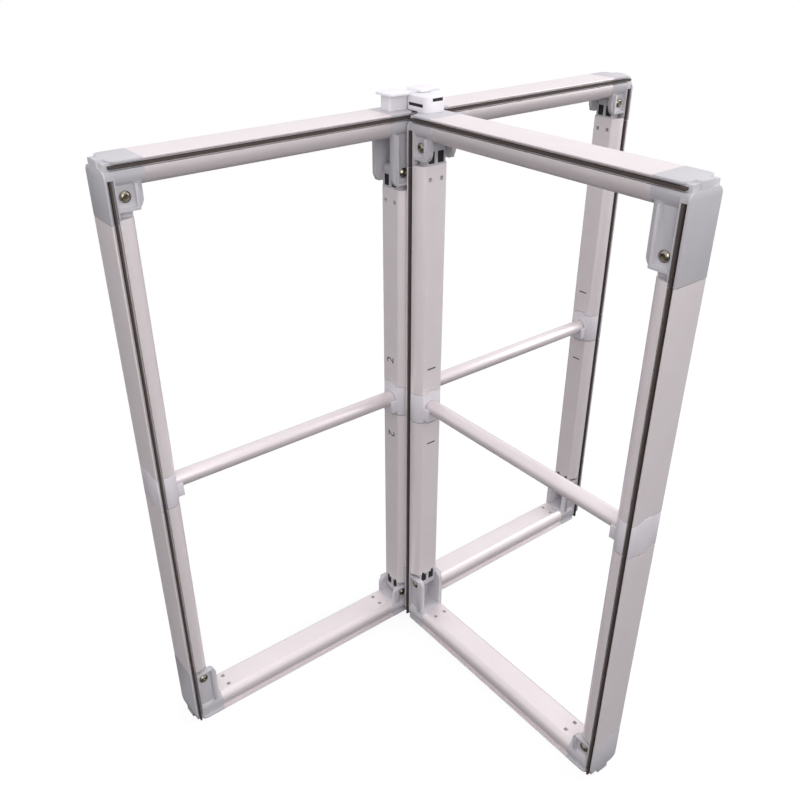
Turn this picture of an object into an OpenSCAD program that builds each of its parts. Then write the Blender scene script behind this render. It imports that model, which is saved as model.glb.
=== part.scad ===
// Folding display wall: three rectangular frames of grooved extrusion that stand in a T. Two of
// them are in line, end to end, and the end of the third one closes on their joint.
// Each frame is two half frames, upper and lower, and each half is a bar with two legs that fold
// against it. The legs stand end to end on mid couplers, which also hold a crossbar.
// Frame coordinates: x runs from the outer face of one post to that of the other, y is centred on
// the thickness, z is up from the floor.

/* [Frame] */
// Width of one frame over its two posts
frame_w = 386; // [384:1:600]
// Height of one frame
frame_h = 770; // [560:1:772]
// Thickness of a frame, which is the width of its outer plates
frame_t = 47; // [46:0.5:54]

/* [Extrusion] */
// Thickness of the lip of the outer plate
plate_t = 2.2; // [2:0.1:3]
// Width of the groove that takes the edge bead of a panel
groove_w = 7; // [5:0.1:7.2]
// Depth of the groove
groove_d = 4; // [3:0.1:4]
// Height of the straight shoulder past the groove
shoulder_h = 3.8; // [3:0.1:6]
// Distance that the shoulder stands back from the edge of the outer plate
shoulder_in = 1; // [0.5:0.1:1.5]
// Full depth of the extrusion, from outer plate to inner face
profile_d = 27; // [25:0.1:27]
// Width of the flat inner face between the two rounded sides
face_w = 30; // [22:0.5:34]
// Wall of the extrusion
wall = 1.6; // [1.2:0.1:2]
// Side of the square snap windows
snap_size = 5; // [2.5:0.1:6]
// Distance between the two snap windows of a pair
snap_pitch = 17.5; // [14:0.5:19]
// Distance from the end of an extrusion to its snap windows
snap_in = 14; // [12:0.5:18]

/* [Corner castings] */
// Length of a casting along its bar
bar_arm = 42; // [42:0.5:60]
// Depth of the short pivot below the outer face of the bar
short_pivot = 36; // [36:0.5:42]
// How much deeper the long pivot is, so that one folded leg lies over the other
pivot_step = 34; // [28:0.5:36]
// Distance of a pivot from the outer face of its post
pivot_in = 20; // [18.5:0.1:20.4]
// Distance from a pivot to the seam between its casting and the leg's outer plate
end_reach = 24.5; // [23:0.1:27]
// How far the leg's body runs on past the end of its outer plate
body_lead = 4; // [2:0.1:4.2]
// Reach of the cheeks inward past the pivot
cheek_reach = 18; // [16:0.1:18.5]
// Drop of the cheeks past the pivot, away from the bar
cheek_drop = 14; // [12:0.5:16]
// Thickness of a cheek
cheek_t = 8; // [7:0.1:9]
// Depth of the screw pocket in a cheek
pocket_d = 4.5; // [3.5:0.1:5]
// Width of the rim between the pocket and the groove
rim_w = 1.6; // [1:0.1:1.7]
// Width of the rib between the pocket and the rounded edge of a cheek
rib_w = 3; // [2:0.1:4]
// Distance of that rib from the inner edge of the cheek
rib_in = 5; // [4:0.1:6]
// Width of the central strip that wraps over the corner
strip_w = 17; // [12:0.5:24]
// Cut back of the side lobes of the plates at the corner
lobe_cut = 8; // [6:0.5:10]
// Radius of the lobes' corners
lobe_r = 8; // [5:0.5:10]
// Distance below the bar's outer face at which the web across the post's groove ends
web_end = 18; // [12:0.5:24]
// Length of the spigot inside the bar
spigot_l = 20; // [14:1:30]

/* [Pivots] */
// Radius of the pivot screws
screw_r = 3; // [2:0.1:3.5]
// Radius of the screw heads
head_r = 6; // [5:0.1:6.5]
// Height of the screw heads
head_h = 3.2; // [2:0.1:3.4]
// Width of the hexagon socket over its corners
socket_w = 5.6; // [4:0.1:6]
// Depth of the hexagon socket
socket_d = 1.6; // [1:0.1:1.8]
// Radius of the eye at the end of a leg plug
eye_r = 7.4; // [6:0.1:7.4]
// Length of a leg plug inside the extrusion
plug_in = 24; // [18:1:34]
// Depth of the two windows in the face of a leg plug
window_d = 11; // [3:0.5:12]

/* [Couplers and crossbar] */
// Height of a mid coupler
coupler_h = 43; // [34:1:60]
// Width of the key that guides a leg onto the coupler
key_w = 14; // [8:0.5:20]
// Height of the key
key_h = 3; // [2:0.1:4]
// Radius of the crossbar
rod_r = 10; // [7:0.1:11]
// Wall of the crossbar tube
rod_wall = 1.5; // [1:0.1:2.5]
// Reach of the cup that carries the end of the crossbar
cup_reach = 9; // [6:0.5:12]
// Wall of the cup
cup_wall = 3; // [2:0.1:5]
// Thickness of the cup's floor under the crossbar
cup_floor = 6.8; // [3:0.1:7.5]

/* [Frame hinges] */
// Gap from a hinge line to the faces on either side of it
hinge_gap = 1.8; // [1.7:0.1:3]
// Half of the gap between the two frames that stand in line
end_half_gap = 1; // [0.8:0.1:1.5]
// Radius of the hinge barrels
barrel_r = 1.5; // [1.3:0.1:1.6]
// Radius of the hinge pins
pin_r = 0.75; // [0.6:0.05:0.8]
// Length of one hinge barrel
barrel_l = 4; // [3:0.1:4.2]
// Distance of the first barrel from the top or the bottom
barrel_start = 16.5; // [16.2:0.1:17]

/* [Link blocks] */
// Height of the link blocks of the in-line frames, without their caps
post_h = 17.8; // [14:0.1:22]
// Reach of those blocks from the joint of the frames
post_l = 31.5; // [18:0.5:36]
// Width of those blocks
post_w = 19.5; // [14:0.5:24]
// Distance of their middle from the middle of the frame, away from the cross frame
post_side = 4; // [0:0.5:5]
// Thickness of their caps
cap_h = 2.6; // [2:0.1:4]
// Length of the caps
cap_l = 29.6; // [20:0.1:34]
// Width of the caps
cap_w = 30; // [22:0.5:40]
// Distance of the far edge of a cap from the joint of the frames
cap_reach = 38; // [36:0.5:44]
// Height of the link block of the cross frame
hub_h = 17.4; // [13:0.1:17.5]
// Width of that block
hub_w = 27; // [20:0.5:30]
// Distance of its middle from the middle of the frame
hub_side = 5.5; // [0:0.5:8]
// Length of that block on its frame
hub_l = 18; // [12:0.5:30]
// Reach of that block over the ends of the in-line frames
hub_reach = 19.5; // [8:0.1:21]
// Radius of the upright edges of the link blocks
edge_r = 3; // [1:0.1:4]
// Radius of the rounder upright edge between its two slotted faces
nose_r = 8; // [3:0.5:10]
// Height of the two slots in the block of the cross frame
slot_h = 3.6; // [2:0.1:4]
// Thickness of the wall beside a slot
slot_wall = 3.5; // [2:0.1:5]
// Depth of the slots
slot_d = 10; // [4:0.5:12]
// Height of the lower slot above the frame
low_slot = 5.6; // [3:0.1:7]
// Height of the upper slot above the frame
high_slot = 12.4; // [9.5:0.1:13]

/* [Clearances] */
// Gap between a leg's upper end and its casting
end_gap = 0.6; // [0.5:0.05:1]
// Gap between a leg's foot and the coupler that it stands on
foot_gap = 1; // [1:0.05:1.5]
// Gap beside the key in its notch
key_gap = 0.3; // [0.2:0.05:0.6]
// Gap round a moulded insert inside an extrusion
insert_gap = 0.15; // [0.05:0.05:0.3]
// Gap between a leg plug and the cheeks
cheek_gap = 0.4; // [0.2:0.05:0.8]
// Radial clearance of the pivot screws and hinge pins
pin_gap = 0.05; // [0.02:0.01:0.1]
// Gap round the end of the crossbar in its cup
cup_gap = 0.2; // [0.1:0.05:0.5]
// Gap between the end of the crossbar and the coupler
rod_gap = 1; // [0.5:0.1:2]
// Gap between one hinge barrel and the next
barrel_gap = 0.3; // [0.2:0.05:0.5]
// Gap between neighbouring link blocks
block_gap = 0.8; // [0.6:0.05:1.5]
// Gap under the part of the cross frame's block that reaches over the in-line frames
hub_lift = 0.4; // [0.3:0.05:0.8]

/* [Hidden] */
FRAMES = ["left", "right", "rear"];
HALVES = ["top", "bottom"];
KINDS = ["short", "long"];
HALF_PIECES = ["bar", "short_corner", "long_corner", "short_leg", "long_leg", "short_plug",
    "long_plug", "screws"];
$fn = 48;

aluminium = "#c9c1c2";
moulding = "#b9b8bb";
steel = "#a8a29c";
white = "#ececee";

mid_t = frame_t / 2;
groove_end = plate_t + groove_w;
shoulder_end = groove_end + shoulder_h;
shoulder_y = mid_t - shoulder_in;
side_in = shoulder_y - face_w / 2;
side_drop = profile_d - shoulder_end;
side_r = (side_in * side_in + side_drop * side_drop) / (2 * side_in);
cheek_in_y = shoulder_y - cheek_t;
floor_y = shoulder_y - pocket_d;
plug_y = cheek_in_y - cheek_gap;
leg_foot = (frame_h + coupler_h) / 2 + foot_gap;
coupler_foot = (frame_h - coupler_h) / 2;
rod_z = frame_h / 2;
bore_r = screw_r + pin_gap;
cut = 1;

// The plan is centred on the origin, between the outer end of the cross frame and the far hinge.
row_gap = 2 * hinge_gap;
line_y = (frame_w - row_gap - frame_t - hinge_gap - barrel_r) / 2;
row_x = end_half_gap + frame_w;
row_y = line_y + row_gap + mid_t;

function pivot_v(kind) = kind == "short" ? short_pivot : short_pivot + pivot_step;
function reach_v(kind) = pivot_v(kind) + end_reach;
function leg_top(kind) = frame_h - reach_v(kind) - end_gap;
function body_top(kind) = leg_top(kind) + body_lead;
function snap_start(half) = half == "top" ? snap_in : -snap_size / 2;
function at_joint(frame, half, kind) = (frame == "right") == ((kind == "short") == (half == "top"));
function barrel_v(i) = barrel_start + i * (barrel_l + barrel_gap);

// Places a frame in the plan.
module place(frame) {
    if (frame == "left") translate([-row_x, row_y, 0]) children();
    if (frame == "rear") translate([row_x, row_y, 0]) rotate([0, 0, 180]) children();
    if (frame == "right") translate([0, line_y, 0]) rotate([0, 0, -90]) children();
}

// The lower half frame is the upper one turned half a turn about the frame's middle.
module half_place(half) {
    if (half == "top") children();
    else translate([frame_w, 0, frame_h]) rotate([0, 180, 0]) children();
}

// The post with the short pivot is at x = 0 and the one with the long pivot at the far end.
module post_place(kind) {
    if (kind == "short") children();
    else translate([frame_w, 0, 0]) mirror([1, 0, 0]) children();
}

// Body of the extrusion: a straight shoulder, two rounded sides and a flat inner face.
module body_2d(inset) {
    difference() {
        translate([groove_end + inset, inset - shoulder_y])
            square([profile_d - groove_end - 2 * inset, 2 * (shoulder_y - inset)]);
        for (side = [0, 1]) mirror([0, side]) difference() {
            translate([shoulder_end, face_w / 2 - inset]) square([side_drop + cut, side_in + cut]);
            translate([shoulder_end, shoulder_y - side_r]) circle(side_r - inset, $fn = 96);
        }
    }
}

// Whole section: outer plate, the core between the two grooves, and the body.
module profile_2d() {
    translate([0, -mid_t]) square([plate_t, frame_t]);
    translate([0, groove_d - mid_t]) square([shoulder_end, frame_t - 2 * groove_d]);
    body_2d(0);
}

// Hollow of the extrusion: the body's and the core's, joined.
module hollow_2d() {
    body_2d(wall);
    translate([wall, groove_d + wall - mid_t])
        square([shoulder_end - wall, frame_t - 2 * (groove_d + wall)]);
}

// Pair of snap windows through the inner face, from a height above an upright extrusion's start.
module snap_windows(depth, start) {
    for (side = [-1, 1])
        translate([profile_d - depth, side * snap_pitch / 2 - snap_size / 2, start])
            cube([depth + cut, snap_size, snap_size]);
}

// Turns an upright extrusion so that it runs along +x with its outer plate on top.
module lay_down() {
    rotate([0, 90, 0]) children();
}

module bar() {
    length = frame_w - 2 * bar_arm;
    color(aluminium) translate([bar_arm, 0, frame_h]) lay_down() difference() {
        linear_extrude(length) difference() {
            profile_2d();
            hollow_2d();
        }
        snap_windows(wall, snap_in);
        translate([0, 0, length]) mirror([0, 0, 1]) snap_windows(wall, snap_in);
    }
}

// Plate of a casting, from the corner outwards along +x, with lobes that stop short of the corner.
module plate_outline(length) {
    translate([0, -strip_w / 2]) square([length, strip_w]);
    translate([lobe_cut + lobe_r, -mid_t]) square([length - lobe_cut - lobe_r, frame_t]);
    translate([lobe_cut, lobe_r - mid_t]) square([2 * lobe_r, frame_t - 2 * lobe_r]);
    for (side = [-1, 1]) translate([lobe_cut + lobe_r, side * (mid_t - lobe_r)]) circle(lobe_r);
}

// Side view of a cheek, x inward and y down from the bar, rounded about the pivot.
module cheek_outline(pivot) {
    translate([groove_end, groove_end])
        square([pivot_in + cheek_reach - groove_end, pivot - groove_end]);
    translate([groove_end, groove_end])
        square([pivot_in - groove_end, pivot + cheek_drop - groove_end]);
    intersection() {
        translate([pivot_in - cut, pivot - cut])
            square([cheek_reach + cut, cheek_drop + cut]);
        translate([pivot_in, pivot]) circle(cheek_reach + end_gap, $fn = 96);
    }
}

// Area of a cheek at full height: the rim and the rib beside the pocket, and the ledge under it.
module cheek_ribs(pivot) {
    edge = pivot_in + cheek_reach;
    translate([groove_end, groove_end]) square([rim_w, pivot + cheek_drop]);
    translate([edge - rib_in - rib_w, profile_d - rib_w]) square([rib_w, pivot + cheek_drop]);
    translate([groove_end, pivot + cheek_drop - rib_w])
        square([edge - rib_in - groove_end, rib_w]);
}

module cheek(pivot) {
    upright = [-90, 0, 0];
    edge = pivot_in + cheek_reach;
    translate([0, cheek_in_y, 0]) rotate(upright) linear_extrude(floor_y - cheek_in_y)
        cheek_outline(pivot);
    translate([0, cheek_in_y, 0]) rotate(upright) linear_extrude(cheek_t) intersection() {
        cheek_outline(pivot);
        cheek_ribs(pivot);
    }
    translate([0, cheek_in_y, 0]) rotate(upright) linear_extrude(cheek_t - pocket_d / 2)
        intersection() {
            cheek_outline(pivot);
            translate([edge - rib_in, groove_end]) square([rib_in, pivot + cheek_drop]);
        }
}

// Barrel of a frame hinge on an upright line at [x, y], with a block that carries it from a root.
module barrel(at, root, v, bore) {
    reach = root - at;
    translate([at[0], at[1], -v - barrel_l]) difference() {
        union() {
            cylinder(r = barrel_r, h = barrel_l);
            translate([min(reach[0], 0), min(reach[1], 0), 0])
                cube([abs(reach[0]), abs(reach[1]), barrel_l]);
        }
        translate([0, 0, -cut]) cylinder(r = bore, h = barrel_l + 2 * cut);
    }
}

// Barrels of the hinge between the in-line frames, at the far edge of their ends.
module far_barrels(side, order, bore) {
    line = [-end_half_gap, side * (mid_t + hinge_gap)];
    root = [plate_t / 2, side * (mid_t - plate_t / 2)];
    for (i = order) barrel(line, root, barrel_v(i), bore);
}

// Barrels of the cross frame's hinge: a pair on its end and one in the cheek of the rear frame.
module cross_barrels(frame) {
    web = 1.2;
    loose = pin_r + pin_gap;
    s = mid_t + hinge_gap;
    at = s - end_half_gap;
    if (frame == "right")
        for (i = [0, 2])
            barrel([-hinge_gap, s], [plate_t / 2, mid_t - plate_t], barrel_v(i), loose);
    if (frame == "rear")
        barrel([at, s], [at + web, floor_y - plate_t / 2], barrel_v(1), pin_r);
}

// Corner casting with its corner at the origin, its bar along +x and its post downwards.
module casting(pivot) {
    post = pivot + end_reach;
    core_w = frame_t - 2 * groove_d;
    difference() {
        union() {
            translate([0, 0, -plate_t]) linear_extrude(plate_t) plate_outline(bar_arm);
            lay_down() linear_extrude(plate_t) plate_outline(post);
            translate([plate_t, -core_w / 2, -groove_end]) cube([bar_arm - plate_t, core_w, groove_w]);
            translate([plate_t, -core_w / 2, -post]) cube([groove_w, core_w, post - plate_t]);
            translate([plate_t, -shoulder_y, -web_end])
                cube([groove_w, 2 * shoulder_y, web_end - groove_end]);
            translate([groove_end, 0, 0]) lay_down() linear_extrude(bar_arm - groove_end) body_2d(0);
            translate([bar_arm, 0, 0]) lay_down() linear_extrude(spigot_l)
                body_2d(wall + insert_gap);
            for (side = [0, 1]) mirror([0, side, 0]) {
                cheek(pivot);
                translate([groove_end, cheek_in_y, body_lead - post])
                    cube([rim_w, cheek_t, post - body_lead - groove_end]);
            }
        }
        translate([pivot_in, -mid_t, -pivot]) rotate([-90, 0, 0]) cylinder(r = bore_r, h = frame_t);
        translate([bar_arm, 0, 0]) lay_down() snap_windows(2 * wall, snap_in);
    }
}

module corner(frame, half, kind) {
    color(moulding) post_place(kind) translate([0, 0, frame_h]) {
        casting(pivot_v(kind));
        if (at_joint(frame, half, kind)) {
            if (frame == "left") far_barrels(1, [1], pin_r + pin_gap);
            if (frame == "rear") far_barrels(-1, [0, 2], pin_r);
            cross_barrels(frame);
        }
    }
}

// Leg: an extrusion from the coupler to the casting, notched at its foot for the key.
module leg(half, kind) {
    length = leg_top(kind) - leg_foot;
    notch_w = key_w + 2 * key_gap;
    color(aluminium) post_place(kind) translate([0, 0, leg_foot]) difference() {
        union() {
            linear_extrude(length) profile_2d();
            linear_extrude(length + body_lead) body_2d(0);
        }
        translate([0, 0, -cut]) linear_extrude(length + body_lead + 2 * cut) hollow_2d();
        translate([-cut, -notch_w / 2, -cut]) cube([profile_d + 2 * cut, notch_w, key_h + cut]);
        translate([0, 0, length + body_lead]) mirror([0, 0, 1]) snap_windows(wall, snap_start(half));
    }
}

// Plug in the end of a leg: an insert, a neck between the cheeks and an eye round the pivot.
module plug(half, kind) {
    top = body_top(kind);
    pivot_z = frame_h - pivot_v(kind);
    neck_x = pivot_in - eye_r;
    rib = 2;
    window_w = plug_y - 2 * rib;
    color(moulding) post_place(kind) difference() {
        union() {
            translate([0, 0, top - plug_in]) linear_extrude(plug_in) body_2d(wall + insert_gap);
            translate([neck_x, -plug_y, top]) cube([profile_d - neck_x, 2 * plug_y, pivot_z - top]);
            translate([pivot_in, -plug_y, pivot_z]) rotate([-90, 0, 0])
                cylinder(r = eye_r, h = 2 * plug_y);
        }
        translate([pivot_in, -frame_t, pivot_z]) rotate([-90, 0, 0])
            cylinder(r = bore_r, h = 2 * frame_t);
        for (side = [-1, 1])
            translate([profile_d - window_d, side * plug_y / 2 - window_w / 2, top + rib])
                cube([window_d + cut, window_w, pivot_z - bore_r - top - 2 * rib]);
        translate([0, 0, top]) mirror([0, 0, 1]) snap_windows(3 * wall, snap_start(half));
    }
}

// Button head with a hexagon socket, standing on the xy plane.
module button_head() {
    ball_r = (head_r * head_r + head_h * head_h) / (2 * head_h);
    difference() {
        intersection() {
            cylinder(r = head_r, h = head_h);
            translate([0, 0, head_h - ball_r]) sphere(ball_r, $fn = 64);
        }
        translate([0, 0, head_h - socket_d]) cylinder(r = socket_w / 2, h = socket_d + cut, $fn = 6);
    }
}

// Pivot screw through both cheeks and the plug, with its cap nut on the far side.
module pivot_screw(kind) {
    tip = socket_d / 2;
    post_place(kind) translate([pivot_in, 0, frame_h - pivot_v(kind)]) {
        translate([0, -floor_y, 0]) rotate([90, 0, 0]) button_head();
        translate([0, -floor_y, 0]) rotate([-90, 0, 0]) cylinder(r = screw_r, h = 2 * floor_y + tip);
        translate([0, floor_y, 0]) rotate([-90, 0, 0]) difference() {
            button_head();
            translate([0, 0, -cut]) cylinder(r = bore_r, h = tip + pin_gap + cut);
        }
    }
}

module screws() {
    color(steel) for (kind = KINDS) pivot_screw(kind);
}

// Mid coupler with a key at each end and the cup for the crossbar on its inner face.
module coupler() {
    hollow_r = rod_r + cup_gap;
    cup_w = 2 * (hollow_r + cup_wall);
    cup_z = rod_z - rod_r - cup_floor;
    difference() {
        union() {
            translate([0, 0, coupler_foot]) linear_extrude(coupler_h) profile_2d();
            translate([0, -key_w / 2, coupler_foot - key_h])
                cube([profile_d, key_w, coupler_h + 2 * key_h]);
            translate([profile_d - cut, -cup_w / 2, cup_z])
                cube([cup_reach + cut, cup_w, rod_z + cup_gap - cup_z]);
        }
        translate([profile_d, 0, rod_z + cup_gap]) rotate([0, 90, 0])
            cylinder(r = hollow_r, h = cup_reach + cut);
    }
}

module couplers() {
    color(moulding) for (kind = KINDS) post_place(kind) coupler();
}

module crossbar() {
    start = profile_d + rod_gap;
    color(aluminium) translate([start, 0, rod_z]) rotate([0, 90, 0]) difference() {
        cylinder(r = rod_r, h = frame_w - 2 * start);
        translate([0, 0, -cut]) cylinder(r = rod_r - rod_wall, h = frame_w - 2 * start + 2 * cut);
    }
}

// Plan of a link block: a rectangle with rounded corners, drawn from its corner.
module block_plan(length, width) {
    translate([edge_r, 0]) square([length - 2 * edge_r, width]);
    translate([0, edge_r]) square([length, width - 2 * edge_r]);
    for (x = [edge_r, length - edge_r], y = [edge_r, width - edge_r]) translate([x, y]) circle(edge_r);
}

// Link block of an in-line frame: a block over the inner end of the bar, under a wider cap.
module end_block(side) {
    joint = frame_w + end_half_gap;
    translate([joint - post_l, side * post_side - post_w / 2, frame_h])
        linear_extrude(post_h) block_plan(post_l - block_gap / 2, post_w);
    translate([joint - cap_reach, -cap_w / 2, frame_h + post_h])
        linear_extrude(cap_h) block_plan(cap_l, cap_w);
}

// Link block of the cross frame: an upright block with a slot in one side and one in its end.
module hub_block() {
    length = hub_l + hub_reach;
    translate([-hub_reach, hub_side - hub_w / 2, frame_h]) difference() {
        linear_extrude(hub_h) difference() {
            block_plan(length, hub_w);
            translate([length - nose_r, 0]) difference() {
                translate([0, -cut]) square([nose_r + cut, nose_r + cut]);
                translate([0, nose_r]) circle(nose_r);
            }
        }
        translate([-cut, -cut, -cut]) cube([hub_reach + cut, hub_w + 2 * cut, hub_lift + cut]);
        translate([slot_wall, -cut, low_slot])
            cube([length - nose_r - slot_wall, slot_d + cut, slot_h]);
        translate([length - slot_d, nose_r, high_slot])
            cube([slot_d + cut, hub_w - nose_r - slot_wall, slot_h]);
    }
}

module link_block(frame) {
    color(white) if (frame == "right") hub_block();
    else end_block(frame == "left" ? 1 : -1);
}

// Pins of the frame hinges: the far one between the in-line frames and the cross frame's.
module hinge_pins(half) {
    length = 3 * barrel_l + 2 * barrel_gap;
    foot = half == "top" ? frame_h - barrel_start - length : barrel_start;
    color(steel) for (line = [[0, row_y + mid_t + hinge_gap], [mid_t + hinge_gap, line_y + hinge_gap]])
        translate([line[0], line[1], foot]) cylinder(r = pin_r, h = length);
}

// One half frame's pieces, by name.
module half_piece(frame, half, piece) {
    if (piece == "bar") bar();
    if (piece == "short_corner") corner(frame, half, "short");
    if (piece == "long_corner") corner(frame, half, "long");
    if (piece == "short_leg") leg(half, "short");
    if (piece == "long_leg") leg(half, "long");
    if (piece == "short_plug") plug(half, "short");
    if (piece == "long_plug") plug(half, "long");
    if (piece == "screws") screws();
}

for (frame = FRAMES, half = HALVES, piece = HALF_PIECES)
    place(frame) half_place(half) half_piece(frame, half, piece);
for (frame = FRAMES) place(frame) couplers();
for (frame = FRAMES) place(frame) crossbar();
for (frame = FRAMES)
    place(frame) link_block(frame);
for (half = HALVES)
    hinge_pins(half);
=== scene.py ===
# %% [markdown]
# # A folding display wall, dressed for a render
# The object is a bare display wall: three rectangular frames of grooved aluminium extrusion that
# stand in a T. Their corners and couplers are light grey mouldings, the pivots are steel screws,
# and each frame has a round crossbar. The solids come from a CAD model that is loaded as a fixed
# frame. Blender adds what the solids lack: rounded edges, the shade in the grooves and slots, which
# is painted in, the drawn lines of the metal, the grain of the plastic, the light and the camera.

import math

import bmesh
import bpy
from mathutils import Matrix, Vector


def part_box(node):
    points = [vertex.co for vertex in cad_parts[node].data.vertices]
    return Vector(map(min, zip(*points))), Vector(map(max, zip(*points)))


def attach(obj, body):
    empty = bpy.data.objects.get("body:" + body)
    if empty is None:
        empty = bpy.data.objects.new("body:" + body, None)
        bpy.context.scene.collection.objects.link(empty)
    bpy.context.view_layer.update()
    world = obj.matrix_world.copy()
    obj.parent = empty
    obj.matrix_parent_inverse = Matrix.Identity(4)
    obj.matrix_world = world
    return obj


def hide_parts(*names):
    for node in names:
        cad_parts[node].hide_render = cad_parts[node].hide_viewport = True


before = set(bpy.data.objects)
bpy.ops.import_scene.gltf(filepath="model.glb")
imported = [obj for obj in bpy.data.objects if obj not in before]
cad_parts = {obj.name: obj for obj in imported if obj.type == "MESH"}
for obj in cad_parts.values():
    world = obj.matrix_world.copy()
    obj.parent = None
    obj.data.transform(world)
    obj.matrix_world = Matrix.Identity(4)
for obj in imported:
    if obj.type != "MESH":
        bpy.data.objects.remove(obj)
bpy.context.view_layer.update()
MM = 0.001

# %% [markdown]
# ## Names and places
# The three frames are the same frame put down three times, and the lower half of each is the upper
# half turned half a turn. So every shape here is drawn once, in the coordinates of one frame, and
# one matrix takes it to its place. A matrix is better than copying and dragging objects, because
# the same few lines serve all eighteen lengths of extrusion. Frame coordinates: x runs from post to
# post, y is centred on the thickness, z is up.

# %% One matrix for each frame, half and post
FRAMES = ("left", "right", "rear")
HALVES = ("top", "bottom")
POSTS = ("short", "long")

low, high = (Vector(corner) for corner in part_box("left_couplers"))
frame_w = high.x - low.x
frame_t = high.y - low.y
frame_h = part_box("left_top_bar")[1][2]
mid_t = frame_t / 2


def frame_place(name):
    low, high = (Vector(corner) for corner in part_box(name + "_couplers"))
    middle = (low + high) / 2
    if name == "left":
        return Matrix.Translation((low.x, middle.y, 0))
    if name == "rear":
        return Matrix.Translation((high.x, middle.y, 0)) @ Matrix.Rotation(math.pi, 4, "Z")
    return Matrix.Translation((middle.x, high.y, 0)) @ Matrix.Rotation(-math.pi / 2, 4, "Z")


def half_place(half):
    if half == "top":
        return Matrix.Identity(4)
    return Matrix.Translation((frame_w, 0, frame_h)) @ Matrix.Rotation(math.pi, 4, "Y")


def post_place(post):
    if post == "short":
        return Matrix.Identity(4)
    return Matrix.Translation((frame_w, 0, 0)) @ Matrix.Rotation(math.pi, 4, "Z")


places = {(name, half): frame_place(name) @ half_place(half) for name in FRAMES for half in HALVES}
print("frame", round(frame_w, 4), "wide", round(frame_h, 4), "high", round(frame_t, 4), "thick")

# %% A node's box, read in the coordinates of one frame
def reach(node, place):
    back = place.inverted()
    ends = [back @ Vector(corner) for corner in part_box(node)]
    return Vector(map(min, *ends)), Vector(map(max, *ends))


print("upper left bar", [round(value, 4) for value in reach("left_top_bar", places["left", "top"])[1]])

# %% [markdown]
# ## Writing node trees by hand
# Materials and Geometry Nodes are both trees of nodes. In the editor a node is added, its settings
# are chosen and its sockets are linked. One helper does those three steps in one line, which keeps
# the trees below as short as a sketch of them on paper. A socket is named by its label or by its
# number, and a tuple that holds a socket is first made into a vector by a Combine node.

# %% A helper that adds a node
def add(tree, kind, settings=None, links=None):
    made = tree.nodes.new(kind)
    for name, value in (settings or {}).items():
        setattr(made, name, value)
    for name, value in (links or {}).items():
        if isinstance(value, tuple) and any(isinstance(part, bpy.types.NodeSocket) for part in value):
            value = add(tree, "ShaderNodeCombineXYZ", links=dict(enumerate(value))).outputs[0]
        if isinstance(value, bpy.types.NodeSocket):
            tree.links.new(value, made.inputs[name])
        else:
            made.inputs[name].default_value = value
    return made


def linear(code):
    parts = [int(code[i:i + 2], 16) / 255 for i in (1, 3, 5)]
    return tuple(p / 12.92 if p <= 0.04045 else ((p + 0.055) / 1.055) ** 2.4 for p in parts) + (1,)


print("middle grey as light", [round(part, 3) for part in linear("#808080")])

# %% [markdown]
# ## What every material shares
# Each material here is one shader with two effects on it. A slow noise mixes two close colours,
# because no real surface is one colour all over. A fine noise stands for the grain: it goes to
# roughness, where it breaks the highlights, and to bump, where it catches the light. The size of a
# grain is given in millimetres. A noise has about one speck in each unit, so its scale is one
# divided by that size. Its detail is how many finer noises are laid over it, and harsh says how
# strong they are. The values of a noise lie mostly between 0.3 and 0.7.

# %% A shader, its clouds of colour and its grain
NOISE_LOW = 0.3
NOISE_HIGH = 0.7


def surface(name):
    material = bpy.data.materials.new(name)
    material.use_nodes = True
    tree = material.node_tree
    tree.nodes.clear()
    shader = add(tree, "ShaderNodeBsdfPrincipled")
    add(tree, "ShaderNodeOutputMaterial", links={"Surface": shader.outputs["BSDF"]})
    place = add(tree, "ShaderNodeTexCoord").outputs["Object"]
    return material, tree, shader, place


def clouded(tree, shader, place, size, deep, light):
    cloud = add(tree, "ShaderNodeTexNoise", links={
        "Vector": place, "Scale": 1 / size, "Detail": 3.0, "Roughness": 0.55})
    colour = add(tree, "ShaderNodeMix", {"data_type": "RGBA"}, {
        0: cloud.outputs["Fac"], 6: linear(deep), 7: linear(light)})
    tree.links.new(colour.outputs[2], shader.inputs["Base Color"])


def grained(tree, shader, place, size, gloss, depth, detail=3.0, harsh=0.55):
    grain = add(tree, "ShaderNodeTexNoise", links={
        "Vector": place, "Scale": 1 / size, "Detail": detail, "Roughness": harsh}).outputs["Fac"]
    rough = add(tree, "ShaderNodeMapRange", links={
        "Value": grain, "From Min": NOISE_LOW, "From Max": NOISE_HIGH,
        "To Min": gloss[0], "To Max": gloss[1]})
    tree.links.new(rough.outputs["Result"], shader.inputs["Roughness"])
    if depth:
        relief = add(tree, "ShaderNodeBump", links={"Height": grain, "Distance": depth, "Strength": 1.0})
        tree.links.new(relief.outputs["Normal"], shader.inputs["Normal"])


print("a grain of 0.5 mm has the scale", 1 / (0.5 * MM))

# %% [markdown]
# ## Satin anodised aluminium
# The extrusions are drawn through a die and anodised, so their surface has fine lines along the
# length and a soft, slightly warm sheen. Lines along a length are noise that is stretched: the
# coordinates are squeezed across the length and left long along it. Real die lines are about a tenth
# of a millimetre wide. Here they are 0.76 mm, as coarse as they need to be to show. Bars run one way
# and posts another, and a piece's mesh keeps the coordinates of its place at rest, so there is one
# material for each direction. The posts are given a paler colour than the bars, which is painted
# light: the metal is the same, and the paler colour stands for the brighter light on the posts.

# %% The aluminium materials
LINE_WIDE = 0.76 * MM
STRETCH = 60.0
METAL_CLOUD = 38.5 * MM


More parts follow.
